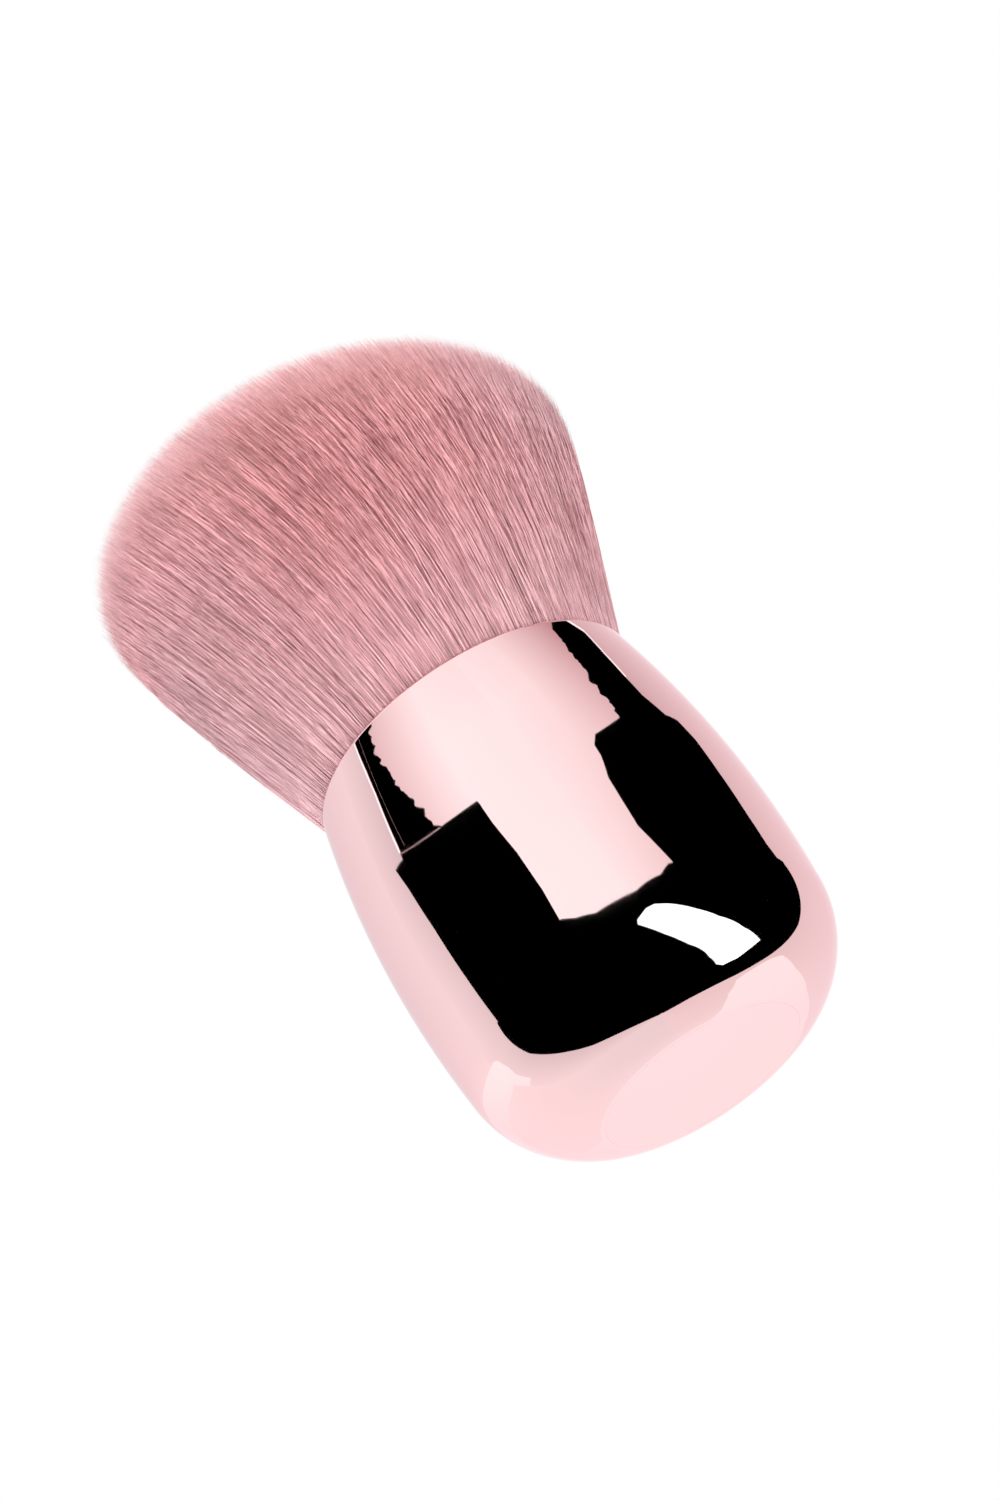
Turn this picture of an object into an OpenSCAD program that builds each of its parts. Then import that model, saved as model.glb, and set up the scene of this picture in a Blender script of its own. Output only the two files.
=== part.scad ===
/* [Handle] */
// Height of the handle from its foot to its mouth
handle_h = 38; // [36:0.5:42]
// Widest diameter of the handle
handle_d = 36; // [35:0.5:40]
// Height of the widest place above the foot
belly_z = 17.5; // [15:0.5:20]
// Draw of the handle's side from its widest place in to the mouth
mouth_draw = 2.3; // [1.8:0.1:2.6]
// Diameter of the flat foot
foot_d = 20; // [19:0.5:24]
// Radius of the round corner between the foot and the belly
corner_r = 10; // [8.5:0.5:11]
// Wall of the lower handle, along its round corner
wall = 2; // [1.2:0.1:2.4]
// Thickness of the floor of the handle
floor_t = 2.2; // [1.8:0.1:3]
// Wall of the handle round the straight bore that comes down from the mouth
mouth_wall = 0.7; // [0.6:0.1:1.2]
// Thickness of the lip at the mouth
lip_t = 0.35; // [0.2:0.05:0.5]
// Depth over which the bore opens out to the lip
lip_h = 1.2; // [0.6:0.1:2]

/* [Base] */
// Thickness of the cap that closes the foot
cap_t = 1.2; // [0.8:0.1:1.5]
// Width of the flat ring that the handle shows round the cap
foot_rim = 0.4; // [0.3:0.1:1]
// Break of the cap's lower edge
cap_chamfer = 0.15; // [0.05:0.05:0.3]
// Thickness of the adhesive pad between the cap and the weight
pad_t = 0.4; // [0.2:0.1:0.6]

/* [Weight] */
// Diameter of the weight
weight_d = 16; // [12:0.5:16]
// Break of the weight's edges
weight_chamfer = 0.8; // [0.3:0.1:1.2]

/* [Carrier] */
// Wall of the carrier's hub round the weight
hub_t = 1.5; // [1:0.1:1.6]
// Thickness of the plate that the cup stands on
plate_t = 2; // [1.2:0.1:3]
// Thickness of the carrier between the end of the weight and the cup
crown_t = 4; // [3:0.5:8]
// Thickness of a rib
rib_t = 1.6; // [1:0.1:2.4]
// Number of ribs
rib_count = 6; // [3:1:10]

/* [Cup] */
// Depth of the cup's rim below the mouth
rim_depth = 6; // [5:0.5:7]
// Height of the cup
cup_h = 9.3; // [8.5:0.1:10.5]
// Wall of the cup
cup_t = 0.8; // [0.5:0.1:1]
// Outer radius of the cup's lower corner
cup_round = 1.6; // [1.2:0.1:2.5]
// Thickness of the resin that holds the roots
potting_t = 3; // [2:0.1:3.5]

/* [Tuft] */
// Thickness of the band that binds the root of the tuft
band_t = 1.5; // [1:0.1:2.5]
// Thickness of the fused root of the tuft
backing_t = 2; // [1:0.1:2.5]
// Widest diameter of the tuft
tuft_d = 46; // [40:0.5:52]
// Height of the tuft's shoulder above the mouth
shoulder_h = 27; // [22:0.5:34]
// Rise of the dome of tips above the shoulder
dome_h = 11; // [7:0.5:14]
// Length over which a strand tapers to its tip
taper_l = 6; // [4:0.5:9]
// Most by which a strand's tip falls short of the dome
tip_scatter = 1.2; // [0:0.1:2]
// Rings of strands round the centre
strand_rings = 8; // [5:1:8]

/* [Hidden] */
$fn = 96;

// Clearance of each slip fit, on each side
fit_gap = 0.1;
// Overrun of a cut past the face that it opens
overrun = 0.5;
// Sides of a strand, and its stations: the root, the mouth and the start of the taper
strand_sides = 3;
strand_stations = 3;
strand_point_count = strand_sides * strand_stations + 1;
// Steps of each arc of the handle's outline, and of a small round
arc_steps = 18;
round_steps = 6;

// Width of a strand against its lattice cell: at the root, at the mouth and where the taper starts
root_fill_share = 0.7;
mouth_fill_share = 0.82;
taper_fill_share = 0.78;
// Power by which the flank of the tuft straightens up towards the shoulder
flank_power = 6;
// Turn of the lattice from its centre to its rim, in degrees, so that no gap runs straight across
lattice_swirl = 24;
// Turns of the scatter's wave in one turn of the tuft, and its step from ring to ring, in degrees
scatter_waves = 42;
scatter_step = 137.5;
// Place of the outermost strands' centres, as a share of the lattice's radius
outer_strand_share = (3 * strand_rings - 1) / (3 * strand_rings);

// Belly arc: level at the widest place, and through the edge of the mouth
mouth_r = handle_d / 2 - mouth_draw;
belly_rise = handle_h - belly_z;
belly_r = (pow(belly_rise, 2) + pow(mouth_draw, 2)) / (2 * mouth_draw);
belly_centre = [handle_d / 2 - belly_r, belly_z];

// Corner arc: through the edge of the foot, and tangent to the belly arc from inside
foot_edge = [foot_d / 2, 0];
foot_reach = norm(foot_edge - belly_centre);
foot_way = (foot_edge - belly_centre) / foot_reach;
corner_along = (pow(belly_r - corner_r, 2) - pow(corner_r, 2) + pow(foot_reach, 2)) / (2 * foot_reach);
corner_aside = sqrt(pow(belly_r - corner_r, 2) - pow(corner_along, 2));
corner_centre = belly_centre + corner_along * foot_way + corner_aside * [-foot_way.y, foot_way.x];
tangent_angle = atan2(corner_centre.y - belly_centre.y, corner_centre.x - belly_centre.x);
mouth_angle = atan2(belly_rise, mouth_r - belly_centre.x);

// Places that follow from the sizes above
bore_r = mouth_r - mouth_wall;
lip_r = mouth_r - lip_t;
cap_r = foot_d / 2 - foot_rim - fit_gap;
pocket_r = weight_d / 2 + fit_gap;
weight_z = cap_t + pad_t;
cup_z = handle_h - rim_depth - cup_h;
weight_l = cup_z - crown_t - fit_gap - weight_z;
cup_r = bore_r - fit_gap;
cup_bore_r = cup_r - cup_t;
band_r = cup_bore_r - fit_gap;
root_r = band_r - band_t - fit_gap;
potting_z = cup_z + cup_t;
backing_z = potting_z + potting_t;
strand_z = backing_z + backing_t;
shoulder_z = handle_h + shoulder_h;

// Points along an arc, both ends included
function arc(centre, r, from, to, steps) =
    [for (i = [0:steps]) let (a = from + (to - from) * i / steps) centre + r * [cos(a), sin(a)]];

// Half section of the handle drawn in by inset, from the height floor_z up to the mouth
function handle_outline(inset, floor_z) =
    let (low = asin(max(-1, (floor_z - corner_centre.y) / (corner_r - inset))),
         corner = arc(corner_centre, corner_r - inset, low, tangent_angle, arc_steps),
         belly = arc(belly_centre, belly_r - inset, tangent_angle, mouth_angle, arc_steps))
    concat([[0, corner[0].y]], corner, [for (i = [1:arc_steps]) belly[i]], [[0, belly[arc_steps].y]]);

// Half section of the hollow in the handle, drawn in by gap: round below the belly, straight above it
module cavity_section(gap) {
    intersection() {
        polygon(handle_outline(wall + gap, floor_t));
        square([bore_r - gap, belly_z]);
    }
    translate([0, belly_z]) square([bore_r - gap, belly_rise + overrun]);
}

module handle_shell() {
    color("#F2C6C9") rotate_extrude() difference() {
        polygon(handle_outline(0, 0));
        cavity_section(0);
        polygon([[0, handle_h - lip_h], [bore_r, handle_h - lip_h], [lip_r, handle_h],
                 [lip_r, handle_h + overrun], [0, handle_h + overrun]]);
        translate([0, -overrun]) square([cap_r + fit_gap, cap_t + overrun]);
        translate([0, -overrun]) square([pocket_r, floor_t + 2 * overrun]);
    }
}

// Flat disc that closes the foot, flush with it
module base_cap() {
    color("#F6D3D3") rotate_extrude() polygon([
        [0, 0], [cap_r - cap_chamfer, 0], [cap_r, cap_chamfer], [cap_r, cap_t], [0, cap_t]]);
}

// Double-sided pad that sticks the weight to the cap
module base_pad() {
    color("#E8E2D2") translate([0, 0, cap_t]) cylinder(d = weight_d, h = pad_t);
}

module weight_slug() {
    half = weight_d / 2;
    color("#9A9DA1") translate([0, 0, weight_z]) rotate_extrude() polygon([
        [0, 0], [half - weight_chamfer, 0], [half, weight_chamfer],
        [half, weight_l - weight_chamfer], [half - weight_chamfer, weight_l], [0, weight_l]]);
}

// Ribbed core: its hub holds the weight, its plate carries the cup, its ribs fill the hollow
module weight_carrier() {
    color("#E4E4E0") difference() {
        union() {
            translate([0, 0, floor_t]) cylinder(r = pocket_r + hub_t, h = cup_z - floor_t);
            translate([0, 0, cup_z - plate_t]) cylinder(r = bore_r - fit_gap, h = plate_t);
            intersection() {
                rotate_extrude() cavity_section(fit_gap);
                for (i = [0:rib_count - 1]) rotate(360 * i / rib_count)
                    translate([0, -rib_t / 2, floor_t]) cube([bore_r, rib_t, cup_z - floor_t]);
            }
        }
        translate([0, 0, -overrun])
            cylinder(r = pocket_r, h = weight_z + weight_l + fit_gap + overrun);
    }
}

// Drawn cup with a round lower corner; it stands on the carrier's plate inside the bore
module ferrule_cup() {
    outer_corner = arc([cup_r - cup_round, cup_round], cup_round, -90, 0, round_steps);
    inner_corner = arc([cup_r - cup_round, cup_round], cup_round - cup_t, 0, -90, round_steps);
    color("#D8DADD") translate([0, 0, cup_z]) rotate_extrude() polygon(concat(
        [[0, 0]], outer_corner, [[cup_r, cup_h], [cup_bore_r, cup_h]], inner_corner, [[0, cup_t]]));
}

// Resin cast round the ends of the hair, in the bottom of the cup
module root_resin() {
    r = cup_bore_r - fit_gap;
    corner = arc([r - cup_round + cup_t, cup_round - cup_t], cup_round - cup_t, -90, 0, round_steps);
    color("#E9D9B0") translate([0, 0, potting_z]) rotate_extrude()
        polygon(concat([[0, 0]], corner, [[r, potting_t], [0, potting_t]]));
}

// Ring that binds the bundle and centres it in the cup
module tie_band() {
    color("#F4F1EA") translate([0, 0, backing_z]) difference() {
        cylinder(r = band_r, h = backing_t);
        translate([0, 0, -overrun]) cylinder(r = root_r + fit_gap, h = backing_t + 2 * overrun);
    }
}

// Radius of the lattice at height z: straight from the root to the mouth, then out along the flank
function flank_r(z) =
    z < handle_h
    ? root_r + (lip_r - fit_gap - root_r) * (z - strand_z) / (handle_h - strand_z)
    : let (u = min(1, (z - handle_h) / shoulder_h),
           rise = (flank_power * u - pow(u, flank_power)) / (flank_power - 1))
      lip_r - fit_gap + (tuft_d / 2 / outer_strand_share - lip_r + fit_gap) * rise;

// Height of a strand's tip on the dome, for its share of the way out from the axis
function tip_z(share) =
    shoulder_z + dome_h * sqrt(max(0, 1 - pow(share / outer_strand_share, 2)));

// Lattice of triangles: ring k has 6k corners; a corner is held as [share of the radius, angle]
function corner_place(k, j) =
    [k / strand_rings, k == 0 ? 0 : 60 * j / k + lattice_swirl * k / strand_rings];
function corner_index(k, j) = k == 0 ? 0 : 1 + 3 * k * (k - 1) + j % (6 * k);

// The three corners of each cell as [ring, place in the ring], turning left seen from the tips
function ring_cells(k) = [
    for (s = [0:5]) each concat(
        [for (i = [0:k - 1]) [[k - 1, s * (k - 1) + i], [k, s * k + i], [k, s * k + i + 1]]],
        [for (i = [0:1:k - 2]) [[k - 1, s * (k - 1) + i], [k, s * k + i + 1], [k - 1, s * (k - 1) + i + 1]]])
];

function polar(place, r, z) = [r * place[0] * cos(place[1]), r * place[0] * sin(place[1]), z];
function middle(p) = (p[0] + p[1] + p[2]) / 3;

// A cell at height z, drawn in towards its middle until it has the given share of its width
function cell_ring(cell, z, fill_share) =
    let (p = [for (c = cell) polar(corner_place(c[0], c[1]), flank_r(z), z)], m = middle(p))
    [for (q = p) m + fill_share * (q - m)];

// The points of a strand: a ring of them at each of its stations, and its tip
function strand_points(cell) =
    let (share = (cell[0][0] + cell[1][0] + cell[2][0]) / 3 / strand_rings,
         root = middle(cell_ring(cell, strand_z, 1)),
         wave = sin(scatter_waves * atan2(root.y, root.x) + scatter_step * cell[1][0]),
         top = tip_z(share) - tip_scatter * (1 + wave) / 2,
         end = middle(cell_ring(cell, top, 1)),
         // the curved cell's middle lies a little inside its share of the radius
         reach = share * flank_r(top) / max(norm([end.x, end.y]), fit_gap))
    concat(cell_ring(cell, strand_z, root_fill_share),
           cell_ring(cell, handle_h, mouth_fill_share),
           cell_ring(cell, top - taper_l, taper_fill_share),
           [[end.x * reach, end.y * reach, top]]);

// Triangles between ring a of a strand and the ring above it, b
function ring_faces(a, b) = [
    for (i = [0:strand_sides - 1]) let (j = (i + 1) % strand_sides)
    each [[a[i], a[j], b[j]], [a[i], b[j], b[i]]]
];

// Triangles of one strand, with the frame that joins its root to the backing round it
function strand_faces(cell, first) =
    let (frame = [for (c = cell) corner_index(c[0], c[1])],
         ring = [for (s = [0:strand_stations - 1])
                 [for (i = [0:strand_sides - 1]) first + strand_sides * s + i]],
         last = ring[strand_stations - 1],
         tip = first + strand_sides * strand_stations)
    concat(ring_faces(frame, ring[0]),
           [for (s = [1:strand_stations - 1]) each ring_faces(ring[s - 1], ring[s])],
           [for (i = [0:strand_sides - 1]) [last[i], last[(i + 1) % strand_sides], tip]]);

// Tuft: a fused root whose lattice cells each carry one three-sided strand
module bristle_tuft() {
    cells = [for (k = [1:strand_rings]) each ring_cells(k)];
    lattice = [for (k = [0:strand_rings]) for (j = [0:max(0, 6 * k - 1)])
               polar(corner_place(k, j), root_r, strand_z)];
    rim_count = 6 * strand_rings;
    rim = [for (j = [0:rim_count - 1]) polar(corner_place(strand_rings, j), root_r, backing_z)];
    rim_first = len(lattice);
    hub = rim_first + rim_count;
    strands_first = hub + 1;
    points = concat(lattice, rim, [[0, 0, backing_z]], [for (c = cells) each strand_points(c)]);
    side = [for (j = [0:rim_count - 1])
        let (low = rim_first + j, low_next = rim_first + (j + 1) % rim_count,
             high = corner_index(strand_rings, j), high_next = corner_index(strand_rings, j + 1))
        each [[low, low_next, high_next], [low, high_next, high], [hub, low_next, low]]];
    faces = concat(side, [for (i = [0:len(cells) - 1])
        each strand_faces(cells[i], strands_first + strand_point_count * i)]);
    // each face turns right seen from outside
    color("#D08C91") polyhedron(points, [for (f = faces) [f[2], f[1], f[0]]], convexity = 12);
}

handle_shell();
base_cap();
base_pad();
weight_slug();
weight_carrier();
ferrule_cup();
root_resin();
tie_band();
bristle_tuft();
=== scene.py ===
"""Looks and studio of a round powder brush: a plated handle that carries a dense, domed tuft.

Lengths in the classes are millimetres and angles are degrees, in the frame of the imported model: the
foot stands on z = 0, the tuft points up, and the camera's side is -Y.
"""

import logging
import math
from dataclasses import dataclass
from enum import Enum
from itertools import count
from typing import ClassVar, Iterable, Sequence, Union

import bpy
from mathutils import Matrix, Vector, noise


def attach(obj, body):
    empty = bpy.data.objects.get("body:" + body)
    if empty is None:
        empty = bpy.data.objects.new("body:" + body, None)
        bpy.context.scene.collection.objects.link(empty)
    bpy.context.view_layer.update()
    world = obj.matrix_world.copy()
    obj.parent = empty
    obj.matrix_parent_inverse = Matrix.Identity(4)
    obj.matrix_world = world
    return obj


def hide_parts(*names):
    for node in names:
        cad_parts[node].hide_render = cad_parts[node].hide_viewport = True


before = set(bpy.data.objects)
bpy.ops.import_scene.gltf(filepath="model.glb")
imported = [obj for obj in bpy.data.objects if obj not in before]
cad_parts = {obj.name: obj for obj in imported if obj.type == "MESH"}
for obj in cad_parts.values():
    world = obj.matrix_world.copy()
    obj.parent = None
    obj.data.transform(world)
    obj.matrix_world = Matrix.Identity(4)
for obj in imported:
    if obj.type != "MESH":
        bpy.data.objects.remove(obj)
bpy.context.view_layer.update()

LOG = logging.getLogger("powder_brush")
MM = 0.001
BODY = "root"

Colour = tuple[float, float, float]
Axes = tuple[float, float, float]
Pair = tuple[float, float]
Stops = tuple[Pair, Pair]
WHITE: Colour = (1.0, 1.0, 1.0)


def opaque(colour: Colour) -> tuple[float, float, float, float]:
    """Returns the colour with full alpha, as a colour socket takes it."""
    return (*colour, 1.0)


def report(piece: bpy.types.Object) -> None:
    """Logs a piece's name and its number of faces."""
    LOG.info("%s: %d faces", piece.name, len(piece.data.polygons))


class Field:
    """An output socket of a node tree that takes part in sums as a number does."""

    def __init__(self, graph: "Graph", socket: bpy.types.NodeSocket) -> None:
        """Wraps one socket of a graph's tree."""
        self.graph = graph
        self.socket = socket

    def __add__(self, other: "Value") -> "Field":
        """Adds a number or a field."""
        return self.graph.math("ADD", self, other)

    def __sub__(self, other: "Value") -> "Field":
        """Takes a number or a field away."""
        return self.graph.math("SUBTRACT", self, other)

    def __rsub__(self, other: "Value") -> "Field":
        """Takes the field away from a number."""
        return self.graph.math("SUBTRACT", other, self)

    def __mul__(self, other: "Value") -> "Field":
        """Multiplies by a number or a field."""
        return self.graph.math("MULTIPLY", self, other)

    def __truediv__(self, other: "Value") -> "Field":
        """Divides by a number or a field."""
        return self.graph.math("DIVIDE", self, other)

    def __pow__(self, other: "Value") -> "Field":
        """Raises to a power."""
        return self.graph.math("POWER", self, other)

    __radd__ = __add__
    __rmul__ = __mul__


Value = Union[float, Field]


class Graph:
    """Builds a node tree, for a material or for geometry."""

    def __init__(self, tree: bpy.types.NodeTree) -> None:
        """Starts on a tree that may hold nodes already."""
        self.tree = tree

    def feed(self, socket: bpy.types.NodeSocket, value: object) -> None:
        """Links a field to a socket, or sets the socket's own value.

        Args:
            socket: The input that is fed.
            value: A field, or a value of the socket's kind.
        """
        if isinstance(value, Field):
            self.tree.links.new(value.socket, socket)
        else:
            socket.default_value = value

    def add(
        self, kind: str, inputs: dict[Union[int, str], object] | None = None, **settings: object
    ) -> bpy.types.Node:
        """Adds a node.

        Args:
            kind: The node's type name.
            inputs: What each input is fed, by its name or its index.
            **settings: The node's own properties.

        Returns:
            The new node.
        """
        node = self.tree.nodes.new(kind)
        for name, value in settings.items():
            setattr(node, name, value)
        for key, value in (inputs or {}).items():
            self.feed(node.inputs[key], value)
        return node

    def field(
        self, kind: str, inputs: dict[Union[int, str], object] | None = None,
        output: Union[int, str] = 0, **settings: object
    ) -> Field:
        """Adds a node and returns one of its outputs.

        Args:
            kind: The node's type name.
            inputs: What each input is fed, by its name or its index.
            output: The output, by its name or its index.
            **settings: The node's own properties.

        Returns:
            The output as a field.
        """
        return Field(self, self.add(kind, inputs, **settings).outputs[output])

    def math(self, operation: str, *values: Value) -> Field:
        """Adds one operation on one, two or three values."""
        return self.field("ShaderNodeMath", dict(enumerate(values)), operation=operation)

    def ramp(self, value: Value, low: Pair, high: Pair) -> Field:
        """Maps a value in a straight line, and holds it at both ends.

        Args:
            value: The value that is mapped.
            low: The value at the low end, and what it becomes.
            high: The value at the high end, and what it becomes.

        Returns:
            The mapped value.
        """
        return self.field("ShaderNodeMapRange", {
            "Value": value, "From Min": low[0], "To Min": low[1], "From Max": high[0], "To Max": high[1]})

    def blend(self, factor: Value, first: object, second: object) -> Field:
        """Mixes two colours.

        Args:
            factor: The share of the second colour.
            first: A colour or a colour field.
            second: A colour or a colour field.

        Returns:
            The mixed colour.
        """
        return self.field("ShaderNodeMix", {0: factor, 6: first, 7: second}, 2, data_type="RGBA")

    def scaled_colour(self, colour: object, level: Value) -> Field:
        """Multiplies a colour, or a colour field, by a level."""
        return self.field("ShaderNodeVectorMath", {0: colour, "Scale": level}, operation="SCALE")

    def place(self, stretch: Axes = (1.0, 1.0, 1.0)) -> Field:
        """Returns Object coordinates, stretched along each axis by the given factors."""
        coordinates = self.field("ShaderNodeTexCoord", output="Object")
        return self.field("ShaderNodeMapping", {"Vector": coordinates, "Scale": stretch})

    def noise(self, vector: Field, scale: float, detail: float = 2.0, output: str = "Fac") -> Field:
        """Adds a noise pattern.

        Args:
            vector: Where it is read.
            scale: Its waves per metre of the vector.
            detail: Its number of finer layers.
            output: Fac for a value, Color for three.

        Returns:
            The pattern, from 0 to 1.
        """
        inputs = {"Vector": vector, "Scale": scale, "Detail": detail}
        return self.field("ShaderNodeTexNoise", inputs, output)

    def attribute(self, name: str) -> Field:
        """Returns a named number that a mesh carries, in a material."""
        return self.field("ShaderNodeAttribute", output="Fac", attribute_name=name)


class Finish:
    """What every finish shares: a material with one Principled shader."""

    name: str

    def start(self) -> tuple[bpy.types.Material, Graph, bpy.types.Node]:
        """Makes a material.

        Returns:
            The material, its graph and its Principled shader.
        """
        material = bpy.data.materials.new(self.name)
        material.use_nodes = True
        return material, Graph(material.node_tree), material.node_tree.nodes["Principled BSDF"]

    def build(self) -> bpy.types.Material:
        """Makes the finish's material."""
        raise NotImplementedError

    def bump(self, graph: Graph, shader: bpy.types.Node, height: Field, depth: float) -> None:
        """Gives a shader relief.

        Args:
            graph: The material's graph.
            shader: The shader that gets it.
            height: The pattern, from 0 to 1.
            depth: The depth of the pattern in millimetres.
        """
        bump = graph.field("ShaderNodeBump", {"Height": height, "Distance": depth * MM}, "Normal")
        graph.feed(shader.inputs["Normal"], bump)


@dataclass(frozen=True)
class PlatedFinish(Finish):
    """Bright rose plating over a moulded shell: a mirror with a faint swell and fine wipe marks."""

    name: str
    colour: Colour = (0.95, 0.66, 0.67)
    edge_tint: Colour = (0.94, 0.82, 0.85)
    cloud_per_metre: float = 55.0
    cloud_gain: float = 1.03
    polish: float = 0.02
    haze_per_metre: float = 140.0
    haze_band: Pair = (0.4, 0.75)
    haze_gain: float = 1.6
    wipe_per_metre: float = 5200.0
    wipe_stretch: Axes = (1.0, 1.0, 0.08)
    wipe_marks: Stops = ((0.62, 0.0), (0.78, 0.02))
    swell_depth: float = 0.005
    swell_per_metre: float = 120.0

    def build(self) -> bpy.types.Material:
        """Makes the plating's material.

        Returns:
            The material.
        """
        material, graph, shader = self.start()
        cloud = graph.noise(graph.place(), self.cloud_per_metre, detail=3.0)
        paler = tuple(min(1.0, part * self.cloud_gain) for part in self.colour)
        graph.feed(shader.inputs["Base Color"], graph.blend(cloud, opaque(self.colour), opaque(paler)))
        shader.inputs["Metallic"].default_value = 1.0
        shader.inputs["Specular Tint"].default_value = opaque(self.edge_tint)
        wipe = graph.noise(graph.place(self.wipe_stretch), self.wipe_per_metre, detail=1.0)
        haze = graph.noise(graph.place(), self.haze_per_metre, detail=3.0)
        clear, hazy = self.haze_band
        patches = graph.ramp(haze, (clear, self.polish), (hazy, self.polish * self.haze_gain))
        graph.feed(shader.inputs["Roughness"], patches + graph.ramp(wipe, *self.wipe_marks))
        swell = graph.noise(graph.place(), self.swell_per_metre, detail=1.0)
        self.bump(graph, shader, swell, self.swell_depth)
        return material


@dataclass(frozen=True)
class FibreFinish(Finish):
    """Fine dyed fibre: greyer at the mouth and paler towards the tip, with a painted pale side light on both
    sides, a painted sheen on the very ends, painted light on the left, painted shade down both flanks near
    the mouth, and dark dashes of painted shade between the strands.

    Each pair of stops maps a place to a level. A name in _across maps metres along X, where left is -X.
    The other places run along the strand, from 0 at the mouth to 1 at the tip, or are a pattern's values.
    """

    name: str
    root: Colour = (0.755, 0.445, 0.475)
    # painted light: a paler, cooler colour laid over both sides of the tuft as side light there
    painted_side_light: Colour = (0.765, 0.54, 0.585)
    middle: Colour = (0.77, 0.385, 0.405)
    tip: Colour = (0.79, 0.425, 0.43)
    # painted sheen: the very ends of the strands turn greyer, for light caught along the tuft's top edge
    end: Colour = (0.64, 0.43, 0.44)
    shade: Colour = (0.26, 0.055, 0.07)
    left_across: Stops = ((-0.02, 1.0), (-0.002, 0.0))
    right_across: Stops = ((0.013, 0.0), (0.0215, 0.6))
    flank_across: Stops = ((0.004, 0.0), (0.018, 1.0))
    middle_share: Stops = ((0.1, 0.0), (0.45, 1.0))
    tip_share: Stops = ((0.62, 0.0), (1.0, 1.0))
    tip_sheen_share: Stops = ((0.88, 0.0), (1.0, 1.0))
    left_side_light_along: Stops = ((0.5, 0.9), (0.95, 0.3))
    right_side_light_along: Stops = ((0.2, 0.3), (0.6, 1.0))
    # painted light on the left, and painted shade down both flanks, each by the place along the strand
    painted_left_light: Stops = ((0.5, 0.0), (0.7, 0.1))
    painted_flank_shade: Stops = ((0.25, 0.1), (0.6, 0.0))
    length_light: Stops = ((0.8, 1.0), (1.0, 0.92))
    tone_spread: Stops = ((0.0, 0.6), (0.35, 1.0))
    tone_gain: Stops = ((1.0, 1.0), (1.2, 1.2))
    clump_light: Stops = ((0.3, 0.94), (0.7, 1.0))
    # painted shade between the strands, laid as dark dashes along each strand
    shade_dash_cut: Stops = ((0.36, 1.0), (0.5, 0.0))
    shade_dash_depth: Stops = ((0.1, 0.36), (0.5, 0.9))
    dash_roughness: Stops = ((0.0, 0.55), (1.0, 0.8))
    shade_dashes_per_metre: float = 520.0
    mean_light: float = 0.9
    unevenness: float = 1.3
    left_calm: float = 0.3
    left_shade_dash_loss: float = 0.4
    sheen: float = 0.07
    gloss: float = 0.25

    def dye_and_painted_light(self, graph: Graph, along: Field, across: Field, left: Field) -> Field:
        """Blends the dye's colours along a strand, lays a painted sheen on the very ends, and lays a painted
        pale side light over both sides.

        Args:
            graph: The material's graph.
            along: The place along the strand.
            across: The place along X.
            left: How far to the left it is.

        Returns:
            The dye's colour, with the painted side light and sheen in it.
        """
        lower = graph.blend(graph.ramp(along, *self.middle_share), opaque(self.root), opaque(self.middle))
        upper = graph.blend(graph.ramp(along, *self.tip_share), lower, opaque(self.tip))
        # painted sheen on the very ends of the strands
        whole = graph.blend(graph.ramp(along, *self.tip_sheen_share), upper, opaque(self.end))
        # painted side light: both sides of the tuft turn towards the pale colour
        right = graph.ramp(across, *self.right_across)
        side_light_share = left * graph.ramp(along, *self.left_side_light_along) + right * graph.ramp(along, *self.right_side_light_along)
        return graph.blend(side_light_share, whole, opaque(self.painted_side_light))

    def light(self, graph: Graph, along: Field, across: Field, left: Field) -> tuple[Field, Field]:
        """Works out how light each strand is, from its tone and its clump, with painted light on the left and
        painted shade down both flanks near the mouth, and a little darker towards the tips.

        Args:
            graph: The material's graph.
            along: The place along the strand.
            across: The place along X.
            left: How far to the left it is.

        Returns:
            The level of the dye, and the share of shade in it.
        """
        calm = 1.0 - left * self.left_calm
        spread = graph.ramp(along, *self.tone_spread)
        level = (graph.attribute("tone") - 0.5) * self.unevenness * spread * calm + self.mean_light
        flanks = graph.ramp(graph.math("ABSOLUTE", across), *self.flank_across)
        # painted light on the left side, less painted shade on the flanks near the mouth
        painted_light_and_shade = left * graph.ramp(along, *self.painted_left_light) - flanks * graph.ramp(along, *self.painted_flank_shade)
        bright = graph.ramp(level, *self.tone_gain) * (painted_light_and_shade + graph.ramp(along, *self.length_light))
        clump = graph.ramp(graph.attribute("clump"), *self.clump_light)
        return bright * clump, graph.math("MAXIMUM", 1.0 - level, 0.0)

    def build(self) -> bpy.types.Material:
        """Makes the fibre's material, which reads the tone, clump and along values of the strands.

        Returns:
            The material.
        """
        material, graph, shader = self.start()
        along = graph.attribute("along")
        place = graph.add("ShaderNodeSeparateXYZ", {0: graph.place()})
        across, height = Field(graph, place.outputs[0]), Field(graph, place.outputs[2])
        left = graph.ramp(across, *self.left_across)
        level, dark = self.light(graph, along, across, left)
        dyed = graph.scaled_colour(self.dye_and_painted_light(graph, along, across, left), level)
        lit = graph.blend(dark, dyed, opaque(self.shade))
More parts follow.
